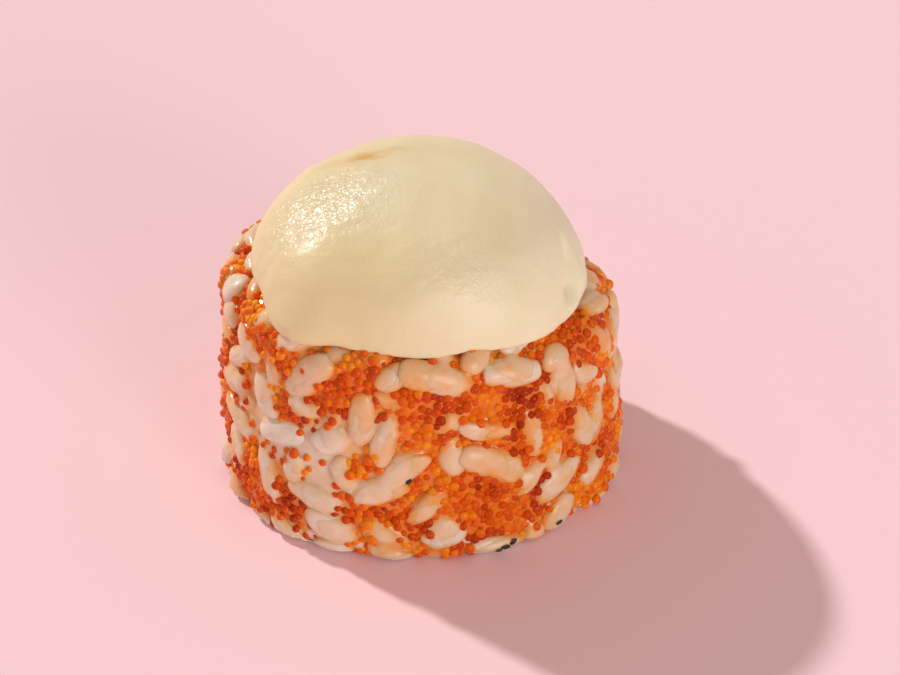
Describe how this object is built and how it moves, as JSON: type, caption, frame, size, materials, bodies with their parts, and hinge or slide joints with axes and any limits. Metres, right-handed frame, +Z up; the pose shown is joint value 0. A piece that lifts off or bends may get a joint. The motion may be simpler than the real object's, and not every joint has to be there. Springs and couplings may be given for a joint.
{
  "type": "baked sushi roll piece",
  "caption": "Slice of an inside-out sushi roll standing on its cut end, rice and orange roe outside, under a domed cap of baked cream sauce",
  "frame": {"origin": "on the surface it stands on, under the middle of its bounding box", "axes": "+Z up through the roll's axis to the cap, -Y towards the picture's camera, +X to the right in the picture"},
  "size_m": [0.0438, 0.0414, 0.0373],
  "materials": {
    "rice": "satin",
    "roe": "gloss",
    "nori": "satin",
    "cream_cheese": "satin",
    "shrimp": "satin",
    "batter": "matte",
    "sauce": "satin"
  },
  "bodies": {
    "root": {"rice_and_roe": "rice", "nori": "nori", "cream_cheese": "cream_cheese", "shrimp": "shrimp", "tempura_batter": "batter", "sauce_cap": "sauce"}
  },
  "joints": []
}
